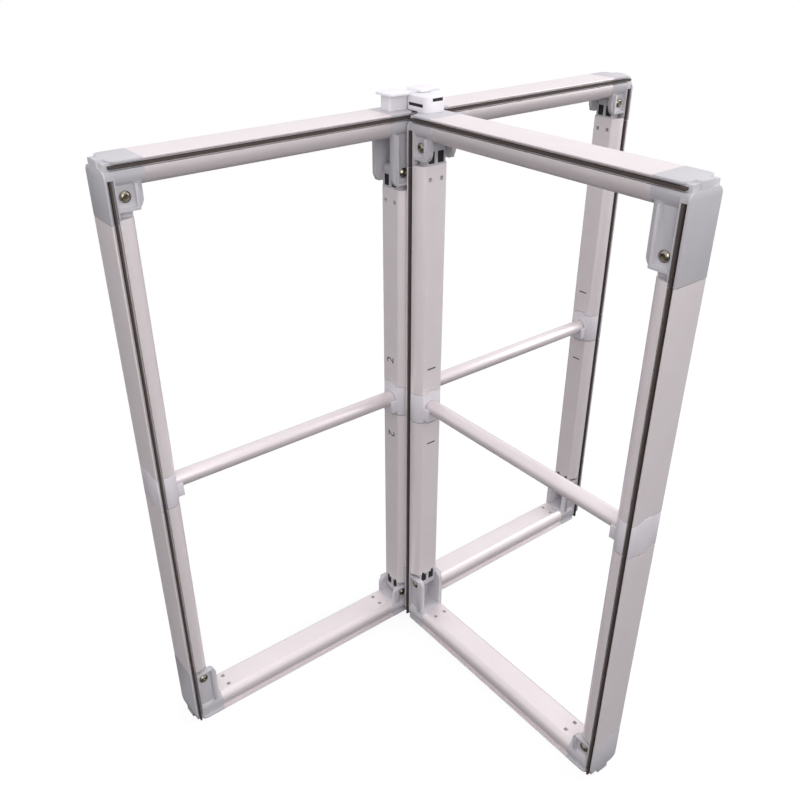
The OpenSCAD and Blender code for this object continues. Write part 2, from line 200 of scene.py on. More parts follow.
def anodised(axis, deep, light):
    material, tree, shader, place = surface("satin anodised aluminium, drawn along " + axis)
    squeeze = [1.0 if letter == axis else STRETCH for letter in "XYZ"]
    lines = add(tree, "ShaderNodeMapping", links={"Vector": place, "Scale": squeeze}).outputs["Vector"]
    clouded(tree, shader, place, METAL_CLOUD, deep, light)
    grained(tree, shader, lines, STRETCH * LINE_WIDE, (0.36, 0.46), 0.012 * MM, 4.0, 0.7)
    shader.inputs["Metallic"].default_value = 0.4
    return material


metal = {axis: anodised(axis, "#dcd3d5", "#e4dcdd") for axis in "XY"}
# painted light: the posts get a paler colour than the bars, for the brighter light they catch
metal["Z"] = anodised("Z", "#ebe2e4", "#f3ebec")
print("made", [m.name for m in metal.values()])

# %% [markdown]
# ## Moulded plastics
# The corners, plugs and couplers are moulded in a light grey plastic, most likely ABS, and the link
# blocks in a whiter one. A mould leaves a fine, even grain and a faint waviness, never scratches in
# one direction. The grain of a real mould is about a tenth of a millimetre. It is drawn as half a
# millimetre here, so that it shows. The broad noise is the flow of the plastic. Both are weak,
# because on the real piece they only soften the reflections.

# %% The plastic materials
MOULD_GRAIN = 0.556 * MM
MOULD_FLOW = 22.2 * MM


def moulded(shade, deep, light, rough):
    material, tree, shader, place = surface("moulded ABS, " + shade)
    clouded(tree, shader, place, MOULD_FLOW, deep, light)
    grained(tree, shader, place, MOULD_GRAIN, (rough - 0.05, rough + 0.05), 0.02 * MM, 2.0)
    return material


grey = moulded("light grey", "#b6b3b8", "#c0bdc2", 0.42)
white = moulded("white", "#dedae0", "#e6e3e8", 0.38)
pale = moulded("pale grey", "#ccc8cd", "#d4d0d5", 0.42)
print("made", grey.name, "and", white.name, "and", pale.name)

# %% [markdown]
# ## Painted shade and plated steel
# Behind the lip of the outer plate runs a groove that takes the edge of a panel. Along the posts and
# the upper bars it lies in shade and reads as a dark brown line, so that shade is painted into it as a
# matt, slightly specked strip. The deep windows and slots get the same painted shade, nearly black. The
# pivot screws are zinc plated, with a slightly yellow cast where the plating thins: the same slow
# noise goes to their colour and to their gloss.

# %% The painted shade and steel materials
SHADE_SPECK = 1.11 * MM
PLATING_CLOUD = 6.25 * MM


# painted shade: a matt dark colour put where the grooves, slots and windows lie in shade
def painted_shade_material(shade, deep, light):
    material, tree, shader, place = surface("extruded rubber, " + shade)
    clouded(tree, shader, place, SHADE_SPECK, deep, light)
    grained(tree, shader, place, SHADE_SPECK, (0.6, 0.8), 0.05 * MM)
    return material


def plated():
    material, tree, shader, place = surface("zinc plated steel")
    clouded(tree, shader, place, PLATING_CLOUD, "#8f8b86", "#a2977f")
    grained(tree, shader, place, PLATING_CLOUD, (0.18, 0.32), 0)
    shader.inputs["Metallic"].default_value = 1.0
    return material


# painted shade: dark brown for the shaded grooves, black for the shaded slots and windows
dark = painted_shade_material("dark brown", "#3a322f", "#4c423e")
black = painted_shade_material("black", "#151113", "#221d1f")
steel = plated()
print("made", dark.name, "and", black.name, "and", steel.name)

# %% [markdown]
# ## The section of the extrusion
# An extrusion is one outline pushed along a line. The outline has an outer plate with two lips, a
# groove behind each lip, a straight shoulder, a rounded side and a flat inner face. On the real
# section every outer corner is broken by a small radius, and that radius draws the thin bright
# lines along the lips and the shoulders. So the outline is drawn as points first and its corners
# are then rounded in the list, which is cheaper and cleaner than bevelling the finished length.

# %% The sizes of the section and its rounded side
PLATE = 2.2 * MM
GROOVE = 7.0 * MM
GROOVE_DEPTH = 4.0 * MM
SHOULDER = 3.8 * MM
SHOULDER_IN = 1.0 * MM
DEPTH = 27.0 * MM
FACE = 30.0 * MM
WALL = 1.6 * MM
LIP_ROUND = 0.7 * MM
EDGE_ROUND = 0.6 * MM
BACK_ROUND = 0.8 * MM
groove_end = PLATE + GROOVE
shoulder_end = groove_end + SHOULDER
shoulder_y = mid_t - SHOULDER_IN
floor_y = mid_t - GROOVE_DEPTH


def side_arc(inset, count=14):
    rise = shoulder_y - FACE / 2
    run = DEPTH - shoulder_end
    outer = (rise * rise + run * run) / (2 * rise)
    radius = outer - inset
    turns = [math.asin((run - inset) / radius) * i / count for i in range(count + 1)]
    return [(shoulder_end + radius * math.sin(turn), shoulder_y - outer + radius * math.cos(turn))
            for turn in turns]


arc = side_arc(0)
print("rounded side of", len(arc), "points")

# %% Draw the outline with rounded corners
def rounded(points, radii, count=4):
    made = []
    for i, (point, radius) in enumerate(zip(points, radii)):
        here = Vector(point)
        back = (Vector(points[i - 1]) - here).normalized()
        on = (Vector(points[(i + 1) % len(points)]) - here).normalized()
        if radius == 0:
            made.append(here)
            continue
        turn = back.angle(on)
        setback = radius / math.tan(turn / 2)
        centre = here + (back + on).normalized() * radius / math.sin(turn / 2)
        start = here + back * setback - centre
        sweep = start.angle_signed(here + on * setback - centre)
        for step in range(count + 1):
            made.append(centre + Matrix.Rotation(-sweep * step / count, 2) @ start)
    return made


def mirrored(half, radii):
    return half + [(x, -y) for x, y in reversed(half)], radii + radii[::-1]


def section_mesh():
    mesh = bpy.data.meshes.new("section")
    points = outline + hollow
    edges = []
    for start, loop in ((0, outline), (len(outline), hollow)):
        edges += [(start + i, start + (i + 1) % len(loop)) for i in range(len(loop))]
    mesh.from_pydata([(p.x, p.y, 0) for p in points], edges, [])
    return mesh


half = [(0, mid_t), (PLATE, mid_t), (PLATE, floor_y), (groove_end, floor_y), (groove_end, shoulder_y)]
radii = [LIP_ROUND, EDGE_ROUND, 0, 0, EDGE_ROUND] + [0] * (len(arc) - 1) + [BACK_ROUND]
outline = rounded(*mirrored(half + arc, radii))
step_x, step_y = groove_end + WALL, floor_y - WALL
inner = [(WALL, step_y), (step_x, step_y), (step_x, shoulder_y - WALL)] + side_arc(WALL)
hollow = [Vector(p) for p in mirrored(inner, [])[0]]
print("outline of", len(outline), "points, hollow of", len(hollow))

# %% [markdown]
# ## A Geometry Nodes tree for every length of extrusion
# Eighteen pieces of the wall are this section at some length, with a few cuts. That is a rule, so a
# Geometry Nodes tree makes them: it fills the section, extrudes it, and takes away the key's notch
# at the foot, the end of the outer plate and the square snap windows, which are cubes put on points.
# The sizes are inputs of the tree. A modifier stores them by the identifier of each socket, and
# they have to be set before the object is evaluated for the first time. The result is turned into
# a plain mesh, and its place is put into the mesh, so that a pattern on it never slides.

# %% Helpers for objects and their meshes
EDGE_TURN = math.radians(35)


def linked(name, data):
    made = bpy.data.objects.new(name, data)
    bpy.context.scene.collection.objects.link(made)
    return made


def evaluated(source):
    graph = bpy.context.evaluated_depsgraph_get()
    return bpy.data.meshes.new_from_object(source.evaluated_get(graph))


def smoothed(mesh):
    mesh.polygons.foreach_set("use_smooth", [True] * len(mesh.polygons))
    mesh.set_sharp_from_angle(angle=EDGE_TURN)


print("edges that turn by more than", round(math.degrees(EDGE_TURN)), "degrees stay sharp")

# %% Helpers for trees, their inputs and their result
WELD = 0.02 * MM


def new_tree(name, sizes):
    tree = bpy.data.node_groups.new(name, "GeometryNodeTree")
    tree.interface.new_socket("Geometry", in_out="INPUT", socket_type="NodeSocketGeometry")
    tree.interface.new_socket("Geometry", in_out="OUTPUT", socket_type="NodeSocketGeometry")
    for label in sizes:
        tree.interface.new_socket(label, in_out="INPUT", socket_type="NodeSocketFloat")
    tree.interface.new_socket("Material", in_out="INPUT", socket_type="NodeSocketMaterial")
    return tree, add(tree, "NodeGroupInput").outputs


def close_tree(tree, given, geometry):
    real = add(tree, "GeometryNodeRealizeInstances", links={"Geometry": geometry})
    painted = add(tree, "GeometryNodeSetMaterial", links={
        "Geometry": real.outputs["Geometry"], "Material": given["Material"]})
    add(tree, "NodeGroupOutput", links={"Geometry": painted.outputs["Geometry"]})
    return tree


def grown(name, mesh, tree, sizes, material, place):
    source = linked(name, mesh)
    modifier = source.modifiers.new("tree", "NODES")
    modifier.node_group = tree
    ids = {item.name: item.identifier for item in tree.interface.items_tree if item.in_out == "INPUT"}
    for label, value in sizes.items():
        modifier[ids[label]] = value
    modifier[ids["Material"]] = material
    made = evaluated(source)
    source.modifiers.clear()
    source.data = made
    made.name = name
    made.transform(place)
    work = bmesh.new()
    work.from_mesh(made)
    bmesh.ops.remove_doubles(work, verts=work.verts, dist=WELD)
    bmesh.ops.recalc_face_normals(work, faces=work.faces)
    work.to_mesh(made)
    work.free()
    smoothed(made)
    return source


print("points closer than", round(WELD / MM, 2), "mm are joined")

# %% The cutters of a length
LENGTH_SIZES = ("Length", "Plate end", "Groove end", "Depth", "Notch width", "Notch height",
                "Window size", "Window pitch", "First windows", "Last windows")
CUTTER = 100.0 * MM


def length_cutters(tree, given):
    times, plus = {"operation": "MULTIPLY"}, {"operation": "ADD"}
    across = add(tree, "ShaderNodeMath", times, {0: given["Depth"], 1: 3.0}).outputs[0]
    through = add(tree, "ShaderNodeMath", times, {0: given["Depth"], 1: 0.2}).outputs[0]
    plate_in = add(tree, "ShaderNodeMath", times, {0: given["Groove end"], 1: 2.0}).outputs[0]
    side = add(tree, "ShaderNodeMath", times, {0: given["Window pitch"], 1: -0.5}).outputs[0]
    notch_mid = add(tree, "ShaderNodeMath", plus, {0: given["Notch height"], 1: -CUTTER / 2}).outputs[0]
    plate_mid = add(tree, "ShaderNodeMath", plus, {0: given["Plate end"], 1: CUTTER / 2}).outputs[0]

    cutters = add(tree, "GeometryNodeJoinGeometry")
    notch, plate = (across, given["Notch width"], CUTTER), (plate_in, CUTTER, CUTTER)
    for size, middle in ((notch, notch_mid), (plate, plate_mid)):
        block = add(tree, "GeometryNodeMeshCube", links={"Size": size})
        moved = add(tree, "GeometryNodeTransform", links={
            "Geometry": block.outputs["Mesh"], "Translation": (0.0, 0.0, middle)})
        tree.links.new(moved.outputs["Geometry"], cutters.inputs[0])

    rows = add(tree, "GeometryNodeJoinGeometry")
    for height in ("First windows", "Last windows"):
        row = add(tree, "GeometryNodeMeshLine", links={
            "Count": 2, "Start Location": (given["Depth"], side, given[height]),
            "Offset": (0.0, given["Window pitch"], 0.0)})
        tree.links.new(row.outputs["Mesh"], rows.inputs[0])
    window = add(tree, "GeometryNodeMeshCube", links={
        "Size": (through, given["Window size"], given["Window size"])})
    windows = add(tree, "GeometryNodeInstanceOnPoints", links={
        "Points": rows.outputs[0], "Instance": window.outputs["Mesh"]})
    real = add(tree, "GeometryNodeRealizeInstances", links={"Geometry": windows.outputs["Instances"]})
    tree.links.new(real.outputs["Geometry"], cutters.inputs[0])
    return cutters.outputs[0]


print("a length has", len(LENGTH_SIZES), "sizes")

# %% The tree that makes a length of extrusion
JOIN = 0.01 * MM


def length_tree():
    tree, given = new_tree("length of extrusion", LENGTH_SIZES)
    curve = add(tree, "GeometryNodeMeshToCurve", links={"Mesh": given["Geometry"]}).outputs["Curve"]
    face = add(tree, "GeometryNodeFillCurve", {"mode": "NGONS"}, {"Curve": curve}).outputs["Mesh"]
    raised = add(tree, "GeometryNodeExtrudeMesh", links={
        "Mesh": face, "Offset": (0.0, 0.0, given["Length"]), "Individual": False})
    foot = add(tree, "GeometryNodeFlipFaces", links={"Mesh": face})
    whole = add(tree, "GeometryNodeJoinGeometry", links={0: raised.outputs["Mesh"]})
    tree.links.new(foot.outputs["Mesh"], whole.inputs[0])
    solid = add(tree, "GeometryNodeMergeByDistance", links={
        "Geometry": whole.outputs[0], "Distance": JOIN})
    cut = add(tree, "GeometryNodeMeshBoolean", {"operation": "DIFFERENCE", "solver": "EXACT"}, {
        "Mesh 1": solid.outputs["Geometry"], "Mesh 2": length_cutters(tree, given)})
    return close_tree(tree, given, cut.outputs["Mesh"])


extrusion = length_tree()
print("tree", extrusion.name, "with", len(extrusion.nodes), "nodes")

# %% [markdown]
# ## Bars and posts
# Each length takes its place and its length from the solid that it stands for. A bar lies on its
# side, with two pairs of snap windows, and a post stands on the key of a coupler, with a notch for
# it. A cut that a length doesn't have is put a metre away from it.

# %% Make the bars and the posts
SNAP = 5.0 * MM
SNAP_IN = 14.0 * MM
SNAP_AT = SNAP_IN + SNAP / 2
SNAP_PITCH = 17.5 * MM
NOTCH_WIDE = 14.6 * MM
BODY_LEAD = 4.0 * MM
KEY_HIGH = 3.0 * MM
AWAY = -1.0
CUTS = {"Groove end": groove_end, "Depth": DEPTH, "Window size": SNAP, "Window pitch": SNAP_PITCH,
        "Notch width": NOTCH_WIDE, "Notch height": AWAY, "First windows": AWAY}
along = {"left": "X", "rear": "X", "right": "Y"}
extrusions = []


def dress(piece, body, node):
    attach(piece, body)
    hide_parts(node)


def drawn(node, body, sizes, material, place):
    piece = grown(node + "_drawn", section_mesh(), extrusion, {**CUTS, **sizes}, material, place)
    dress(piece, body, node)
    extrusions.append(piece)


for (name, half), whole in places.items():
    body = name + "_" + half
    low, high = reach(body + "_bar", whole)
    length = high.x - low.x
    lay = Matrix.Translation((low.x, 0, frame_h)) @ Matrix.Rotation(math.pi / 2, 4, "Y")
    sizes = {"Length": length, "Plate end": length - AWAY,
             "First windows": SNAP_AT, "Last windows": length - SNAP_AT}
    drawn(body + "_bar", body, sizes, metal[along[name]], whole @ lay)
    for post in POSTS:
        node = "{}_{}_leg".format(body, post)
        low, high = reach(node, whole)
        length = high.z - low.z
        sizes = {"Length": length, "Plate end": length - BODY_LEAD, "Notch height": KEY_HIGH,
                 "Last windows": length - SNAP_AT if half == "top" else length}
        stand = post_place(post) @ Matrix.Translation((0, 0, low.z))
        drawn(node, "{}_{}_post".format(body, post), sizes, metal["Z"], whole @ stand)
print("extrusions", len(extrusions), "faces", sum(len(o.data.polygons) for o in extrusions))

# %% [markdown]
# ## Rounded edges on the moulded pieces
# The castings, plugs, couplers, link blocks and crossbars have the right shape as solids, but every
# edge of a solid is knife sharp, and a real moulding never is. Each one is copied, its loose
# triangles are joined into whole faces, and a Bevel modifier rounds every edge that turns by more
# than 35 degrees. The solid itself stays as it is: the copy is shown in its place. The copy of a
# lower casting is also cut, because there the post's groove runs on down to the plate: two boxes are
# taken away by a Boolean modifier before the edges are rounded.

# %% Boxes, for cutting and for filling
WEB_END = 18.0 * MM
OVERLAP = 0.5 * MM


def boxes(name, corners, place):
    work = bmesh.new()
    for start, end in corners:
        start, end = Vector(start), Vector(end)
        size = Matrix.Diagonal([abs(part) for part in end - start] + [1])
        middle = Matrix.Translation((start + end) / 2)
        bmesh.ops.create_cube(work, size=1, matrix=place @ middle @ size)
    bmesh.ops.recalc_face_normals(work, faces=work.faces)
    mesh = bpy.data.meshes.new(name)
    work.to_mesh(mesh)
    work.free()
    return linked(name, mesh)


def groove_cutter(place):
    near, far = frame_h - WEB_END - OVERLAP, frame_h - PLATE
    sides = [((PLATE, side * floor_y, near), (groove_end, side * (mid_t + MM), far)) for side in (-1, 1)]
    return boxes("cutter", sides, place)


print("the cutter is", round((WEB_END + OVERLAP - PLATE) / MM, 1), "mm high")

# %% Copy, join, cut and bevel
COPY_WELD = 0.005 * MM
FLAT_TURN = math.radians(0.5)
mouldings = []


def softened(node, body, material, width, cutter=None):
    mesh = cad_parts[node].data.copy()
    work = bmesh.new()
    work.from_mesh(mesh)
    bmesh.ops.remove_doubles(work, verts=work.verts, dist=COPY_WELD)
    bmesh.ops.dissolve_limit(work, angle_limit=FLAT_TURN, verts=work.verts, edges=work.edges)
    work.to_mesh(mesh)
    work.free()
    mesh.materials.clear()
    mesh.materials.append(material)
    piece = linked(node + "_rounded", mesh)
    if cutter:
        cut = piece.modifiers.new("groove", "BOOLEAN")
        cut.object = cutter
        cut.solver = "EXACT"
    bevel = piece.modifiers.new("edges", "BEVEL")
    bevel.width = width
    bevel.segments = 2
    bevel.limit_method = "ANGLE"
    bevel.angle_limit = EDGE_TURN
    bevel.use_clamp_overlap = True
    made = evaluated(piece)
    piece.modifiers.clear()
    if cutter:
        bpy.data.objects.remove(cutter)
    piece.data = made
    made.name = piece.name
    smoothed(made)
    dress(piece, body, node)
    mouldings.append(piece)


print("faces that turn by less than", round(math.degrees(FLAT_TURN), 1), "degrees are joined")

# %% Round every moulding and the crossbars
CASTING_ROUND = 0.5 * MM
BLOCK_ROUND = 1.0 * MM
SMALL_ROUND = 0.4 * MM

for name in FRAMES:
    for half in HALVES:
        body = name + "_" + half
        for post in POSTS:
            node = "{}_{}".format(body, post)
            cutter = groove_cutter(places[name, half] @ post_place(post)) if half == "bottom" else None
            softened(node + "_corner", body, grey, CASTING_ROUND, cutter)
            softened(node + "_plug", node + "_post", grey, SMALL_ROUND)
    softened(name + "_couplers", name + "_mid", pale, SMALL_ROUND)
    softened(name + "_link_block", name + "_top", white, BLOCK_ROUND)
    softened(name + "_crossbar", name + "_rod", metal[along[name]], SMALL_ROUND)
print("rounded", len(mouldings), "faces", sum(len(o.data.polygons) for o in mouldings))

# %% [markdown]
# ## Painted shade in the grooves
# The grooves of the posts and the upper bars lie in shade, and that shade is painted in: a dark strip
# lies on the floor of the groove. Along an upper bar it runs from just inside one end plate to just
# inside the other, and along a post it stops at the web under the upper corner. At the foot it runs
# on to the plate. The groove of a lower bar is open to the light from above and is left bare. The
# strip of a bar is the thicker one, so that no lit ledge shows beside it. A strip is a small rectangle
# swept along a line, which is what Curve to Mesh does, and the tree's inputs are its width and
# thickness. Each moving body gets its own strips, so that they part at the seams when a post folds.

# %% The tree that sweeps a strip
def strip_tree():
    tree, given = new_tree("strip in the groove", ("Width", "Thickness"))
    curve = add(tree, "GeometryNodeMeshToCurve", links={"Mesh": given["Geometry"]}).outputs["Curve"]
    level = add(tree, "GeometryNodeSetCurveNormal", {"mode": "FREE"}, {
        "Curve": curve, "Normal": (0, 1, 0)}).outputs["Curve"]
    shape = add(tree, "GeometryNodeCurvePrimitiveQuadrilateral", {"mode": "RECTANGLE"}, {
        "Width": given["Width"], "Height": given["Thickness"]}).outputs["Curve"]
    swept = add(tree, "GeometryNodeCurveToMesh", links={
        "Curve": level, "Profile Curve": shape, "Fill Caps": True})
    return close_tree(tree, given, swept.outputs["Mesh"])


strip = strip_tree()
print("tree", strip.name, "with", len(strip.nodes), "nodes")

# %% Lay the strips of painted shade in every frame
STRIP_WIDE = 6.9 * MM
STRIP_THICK = 2.0 * MM
# painted shade: a bar's strip is thicker, so that no lit ledge shows beside it
BAR_STRIP_THICK = 2.8 * MM
SLACK = 0.1 * MM
SEAM = 0.8 * MM
BAR_END = 4.0 * MM
groove_mid = PLATE + GROOVE / 2
strips = []


def laid(name, lines, thick, body, place):
    points = [(x, side * (floor_y + thick / 2), z)
              for line in lines for side in (-1, 1) for x, z in line]
    mesh = bpy.data.meshes.new("lines")
    mesh.from_pydata(points, [(i, i + 1) for i in range(0, len(points), 2)], [])
    # painted shade: every strip is dark brown and stands for the shade in its groove
    piece = grown(name, mesh, strip, {"Width": STRIP_WIDE, "Thickness": thick}, dark, place)
    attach(piece, body)
    strips.append(piece)


for name in FRAMES:
    for half in HALVES:
        body = name + "_" + half
        whole = places[name, half]
        stop = WEB_END if half == "top" else PLATE
        # painted shade: only the upper bars get a strip, because the groove of a lower bar is lit from
        # above
        if half == "top":
            level = frame_h - groove_mid
            line = [(PLATE + BAR_END, level), (frame_w - PLATE - BAR_END, level)]
            laid(body + "_bar_strip", [line], BAR_STRIP_THICK, body, whole)
        for post in POSTS:
            node = "{}_{}_leg".format(body, post)
            low, high = reach(node, whole)
            seam = high.z - BODY_LEAD
            place = whole @ post_place(post)
            line = [(groove_mid, low.z + SLACK), (groove_mid, seam - SLACK)]
            laid(node + "_strip", [line], STRIP_THICK, "{}_{}_post".format(body, post), place)
            line = [(groove_mid, seam + SEAM), (groove_mid, frame_h - stop - SLACK)]
            laid("{}_{}_corner_strip".format(body, post), [line], STRIP_THICK, body, place)
    low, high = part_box(name + "_couplers")
    foot, head = low[2] + KEY_HIGH, high[2] - KEY_HIGH
    lines = [[(x, foot), (x, head)] for x in (groove_mid, frame_w - groove_mid)]
    laid(name + "_mid_strip", lines, STRIP_THICK, name + "_mid", frame_place(name))
print("strips", len(strips), "faces", sum(len(o.data.polygons) for o in strips))

# %% [markdown]
# ## Painted shade in the slots and windows
# The block on the cross frame has a slot in its side and one in its end. Their shade is painted in: a
# black box fills each up to just behind the face, so that both look black in any light. The two windows
# in the end of each post open into the hollow end of the plug, and their shade is painted in the same
# way. The boxes are a little wider than the opening, so that their sides are buried in its walls and
# only the face shows.

# %% Paint shade into the two slots of the block
SLOT_DEPTH = 9.9 * MM
SLOT_BACK = 0.35 * MM
SLOT_GROW = 0.7 * MM
SLOT_HIGH = 3.6 * MM
SLOT_WALL = 3.5 * MM
NOSE = 8.0 * MM
LOW_SLOT = 5.6 * MM
HIGH_SLOT = 12.4 * MM
shade_boxes = []


def shade_painted(name, corners, place, body):
    # painted shade: each box is black and stands for the shade deep in a slot or window
    shade_box = boxes(name, corners, place)
    shade_box.data.materials.append(black)
    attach(shade_box, body)
    shade_boxes.append(shade_box)


low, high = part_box("right_link_block")
near, far = NOSE - SLOT_GROW, SLOT_WALL - SLOT_GROW
floor, roof = frame_h + LOW_SLOT - SLOT_GROW, frame_h + LOW_SLOT + SLOT_HIGH + SLOT_GROW
side_slot = ((low[0] + SLOT_BACK, low[1] + near, floor), (low[0] + SLOT_DEPTH, high[1] - far, roof))
floor, roof = frame_h + HIGH_SLOT - SLOT_GROW, frame_h + HIGH_SLOT + SLOT_HIGH + SLOT_GROW
end_slot = ((low[0] + near, low[1] + SLOT_BACK, floor), (high[0] - far, low[1] + SLOT_DEPTH, roof))
# painted shade in the two slots of the block
shade_painted("hub_lining_side", [side_slot], Matrix.Identity(4), "right_top")
shade_painted("hub_lining_end", [end_slot], Matrix.Identity(4), "right_top")
print("slots lined", len(shade_boxes))

# %% Paint shade into the windows in the ends of the posts
PLUG_IN = 24.0 * MM
EYE_R = 7.4 * MM
WINDOW_D = 11.0 * MM
WINDOW_FACE = 1.5 * MM
WINDOW_Y = (1.9 * MM, 12.2 * MM)
WINDOW_FOOT = 1.9 * MM
WINDOW_HEAD = 5.1 * MM

for (name, half), whole in places.items():
    for post in POSTS:
        node = "{}_{}_{}".format(name, half, post)
        low, high = reach(node + "_plug", whole)
        foot, head = low.z + PLUG_IN + WINDOW_FOOT, high.z - EYE_R - WINDOW_HEAD
        inner, outer = WINDOW_Y
        windows = [((DEPTH - WINDOW_D, side * inner, foot), (DEPTH - WINDOW_FACE, side * outer, head))
                   for side in (-1, 1)]
        # painted shade in the two windows at the end of each post
        shade_painted(node + "_windows", windows, whole @ post_place(post), node + "_post")
print("slots and windows lined", len(shade_boxes))

# %% [markdown]
# ## Pivot screws
# Every post turns on a screw with a button head and a hexagon socket, and a head shows on both
# cheeks. One head is modelled with care: a dome drawn ring by ring round its axis, with a socket
# whose six walls meet the dome. A tree puts that one mesh on points and turns it by a direction that
# is stored on each point, so the twenty-four heads cost one drawing.

# %% The sizes of a head, and the rings that draw it
HEAD_R = 6.0 * MM
HEAD_H = 3.2 * MM
RIM_H = 0.25 * MM
RIM_IN = 0.3 * MM
DOME_LOW = 0.7 * MM
SOCKET_R = 2.8 * MM
SOCKET_D = 1.6 * MM
MOUTH = 1.12
MOUTH_BREAK = 1.04
MOUTH_DROPS = (0.1 * MM, 0.35 * MM)
SHANK_R = 3.0 * MM
POCKET = 4.5 * MM
pocket_y = shoulder_y - POCKET


def ring(sides, radius, z):
    turns = [math.tau * i / sides for i in range(sides)]
    return [(radius * math.cos(turn), radius * math.sin(turn), z) for turn in turns]


def hexagon(sides, radius, z):
    points = []
    for i in range(sides):
        turn = math.tau * i / sides
        flat = radius * math.cos(math.tau / 12) / math.cos(turn % (math.tau / 6) - math.tau / 12)
        points.append((flat * math.cos(turn), flat * math.sin(turn), z))
    return points


print("the socket is", round(2 * SOCKET_R * math.cos(math.tau / 12) / MM, 1), "mm across its flats")

# %% Model one head with its shank
def head_mesh(sides=36, steps=7):
    ball = (HEAD_R ** 2 + HEAD_H ** 2) / (2 * HEAD_H)
    loops = [ring(sides, SHANK_R, -pocket_y), ring(sides, SHANK_R, 0)]
    loops += [ring(sides, HEAD_R - RIM_IN, 0), ring(sides, HEAD_R, RIM_H)]
    for step in range(steps):
        radius = HEAD_R - (HEAD_R - SOCKET_R * MOUTH) * step / (steps - 1)
        top = max(DOME_LOW, HEAD_H - ball + math.sqrt(ball ** 2 - radius ** 2))
        loops.append(ring(sides, radius, top))
    first, second = MOUTH_DROPS
    loops.append(hexagon(sides, SOCKET_R * MOUTH_BREAK, top - first))
    loops += [hexagon(sides, SOCKET_R, top - drop) for drop in (second, SOCKET_D)]
    work = bmesh.new()
    loops = [[work.verts.new(point) for point in loop] for loop in loops]
    for a, b in zip(loops, loops[1:]):
        for i in range(sides):
            j = (i + 1) % sides
            work.faces.new((a[i], a[j], b[j], b[i]))
    work.faces.new(loops[-1])
    work.faces.new(list(reversed(loops[0])))
    bmesh.ops.recalc_face_normals(work, faces=work.faces)
    mesh = bpy.data.meshes.new("button_head")
    work.to_mesh(mesh)
    work.free()
    return mesh


button_head = bpy.data.objects.new("button_head", head_mesh())
print("head faces", len(button_head.data.polygons))

# %% The tree that puts heads on points
def head_tree():
    tree, given = new_tree("heads on points", ("Turn",))
    info = add(tree, "GeometryNodeObjectInfo", links={"Object": button_head, "As Instance": True})
    facing = add(tree, "GeometryNodeInputNamedAttribute", {"data_type": "FLOAT_VECTOR"}, {
        "Name": "facing"})
    spin = add(tree, "FunctionNodeAxisAngleToRotation", links={"Axis": (0, 0, 1), "Angle": given["Turn"]})
    align = add(tree, "FunctionNodeAlignRotationToVector", {"axis": "Z"}, {
        "Vector": facing.outputs["Attribute"]})
    both = add(tree, "FunctionNodeRotateRotation", {"rotation_space": "LOCAL"}, {
        "Rotation": align.outputs["Rotation"], "Rotate By": spin.outputs["Rotation"]})
    placed = add(tree, "GeometryNodeInstanceOnPoints", links={
        "Points": given["Geometry"], "Instance": info.outputs["Geometry"],
        "Rotation": both.outputs["Rotation"]})
    return close_tree(tree, given, placed.outputs["Instances"])


heads = head_tree()
print("tree", heads.name, "with", len(heads.nodes), "nodes")

# %% Put the heads on their pivots
HEAD_TURN = math.radians(17)
screws = []

for (name, half), whole in places.items():
    node = "{}_{}_screws".format(name, half)
    low, high = reach(node, whole)
    pivots = ((low.x + HEAD_R, high.z - HEAD_R), (high.x - HEAD_R, low.z + HEAD_R))
    points = [(x, side * pocket_y, z) for x, z in pivots for side in (-1, 1)]
    mesh = bpy.data.meshes.new("pivots")
    mesh.from_pydata(points, [], [])
    facing = mesh.attributes.new("facing", "FLOAT_VECTOR", "POINT")
    for row, point in zip(facing.data, points):
        row.vector = (0, math.copysign(1, point[1]), 0)
    piece = grown(node + "_heads", mesh, heads, {"Turn": HEAD_TURN}, steel, whole)
    dress(piece, "{}_{}".format(name, half), node)
    screws.append(piece)
for half in HALVES:
    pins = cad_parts["hinge_pins_" + half].data
    pins.materials.clear()
    pins.materials.append(steel)
print("screws", len(screws), "faces", sum(len(o.data.polygons) for o in screws))

# %% [markdown]
# ## Assembly numbers
# Near the couplers each post carries a small printed mark, so that upper and lower halves are put
# together the right way round. Here they are plain numbers, in a pad printed ink that is slightly
# uneven. A text object is turned into a mesh first and placed afterwards, because every finished
# piece keeps its place in its mesh.

# %% Print the numbers on the inner faces
MARK_UP = 58.5 * MM
MARK_SIZE = 20.0 * MM
INK_THICK = 0.05 * MM
INK_CLOUD = 0.67 * MM
numbers = []


def printed():
    material, tree, shader, place = surface("pad printed ink")
    clouded(tree, shader, place, INK_CLOUD, "#2e2226", "#4a3c40")
    shader.inputs["Roughness"].default_value = 0.6
    return material


ink = printed()


def number(text, name, place):
    letters = bpy.data.curves.new(name, "FONT")
    letters.body = text
    letters.size = MARK_SIZE
    letters.align_x = "CENTER"
    letters.align_y = "CENTER"
    letters.extrude = INK_THICK
    source = linked(name, letters)
    mesh = evaluated(source)
    bpy.data.objects.remove(source)
    mesh.transform(place)
    mesh.materials.clear()
    mesh.materials.append(ink)
    return linked(name, mesh)


onto = Matrix.Translation((DEPTH, 0, frame_h / 2 + MARK_UP))
face = Matrix.Rotation(math.pi / 2, 4, "Y") @ Matrix.Rotation(math.pi, 4, "Z")
for (name, half), whole in places.items():
    for post in POSTS:
        text = "1" if (post == "short") == (half == "top") else "2"
        body = "{}_{}_{}_post".format(name, half, post)
        piece = number(text, body + "_number", whole @ post_place(post) @ onto @ face)
        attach(piece, body)
        numbers.append(piece)
print("numbers", len(numbers))

# %% [markdown]
# ## The floor
# The wall stands on a plain pale ground. The camera sees that ground as white, through an emission
# that fades in with the distance from the wall, so that the shadow at its foot still shows. Every
# other ray meets a darker floor, so that the ground throws little light up under the bars.

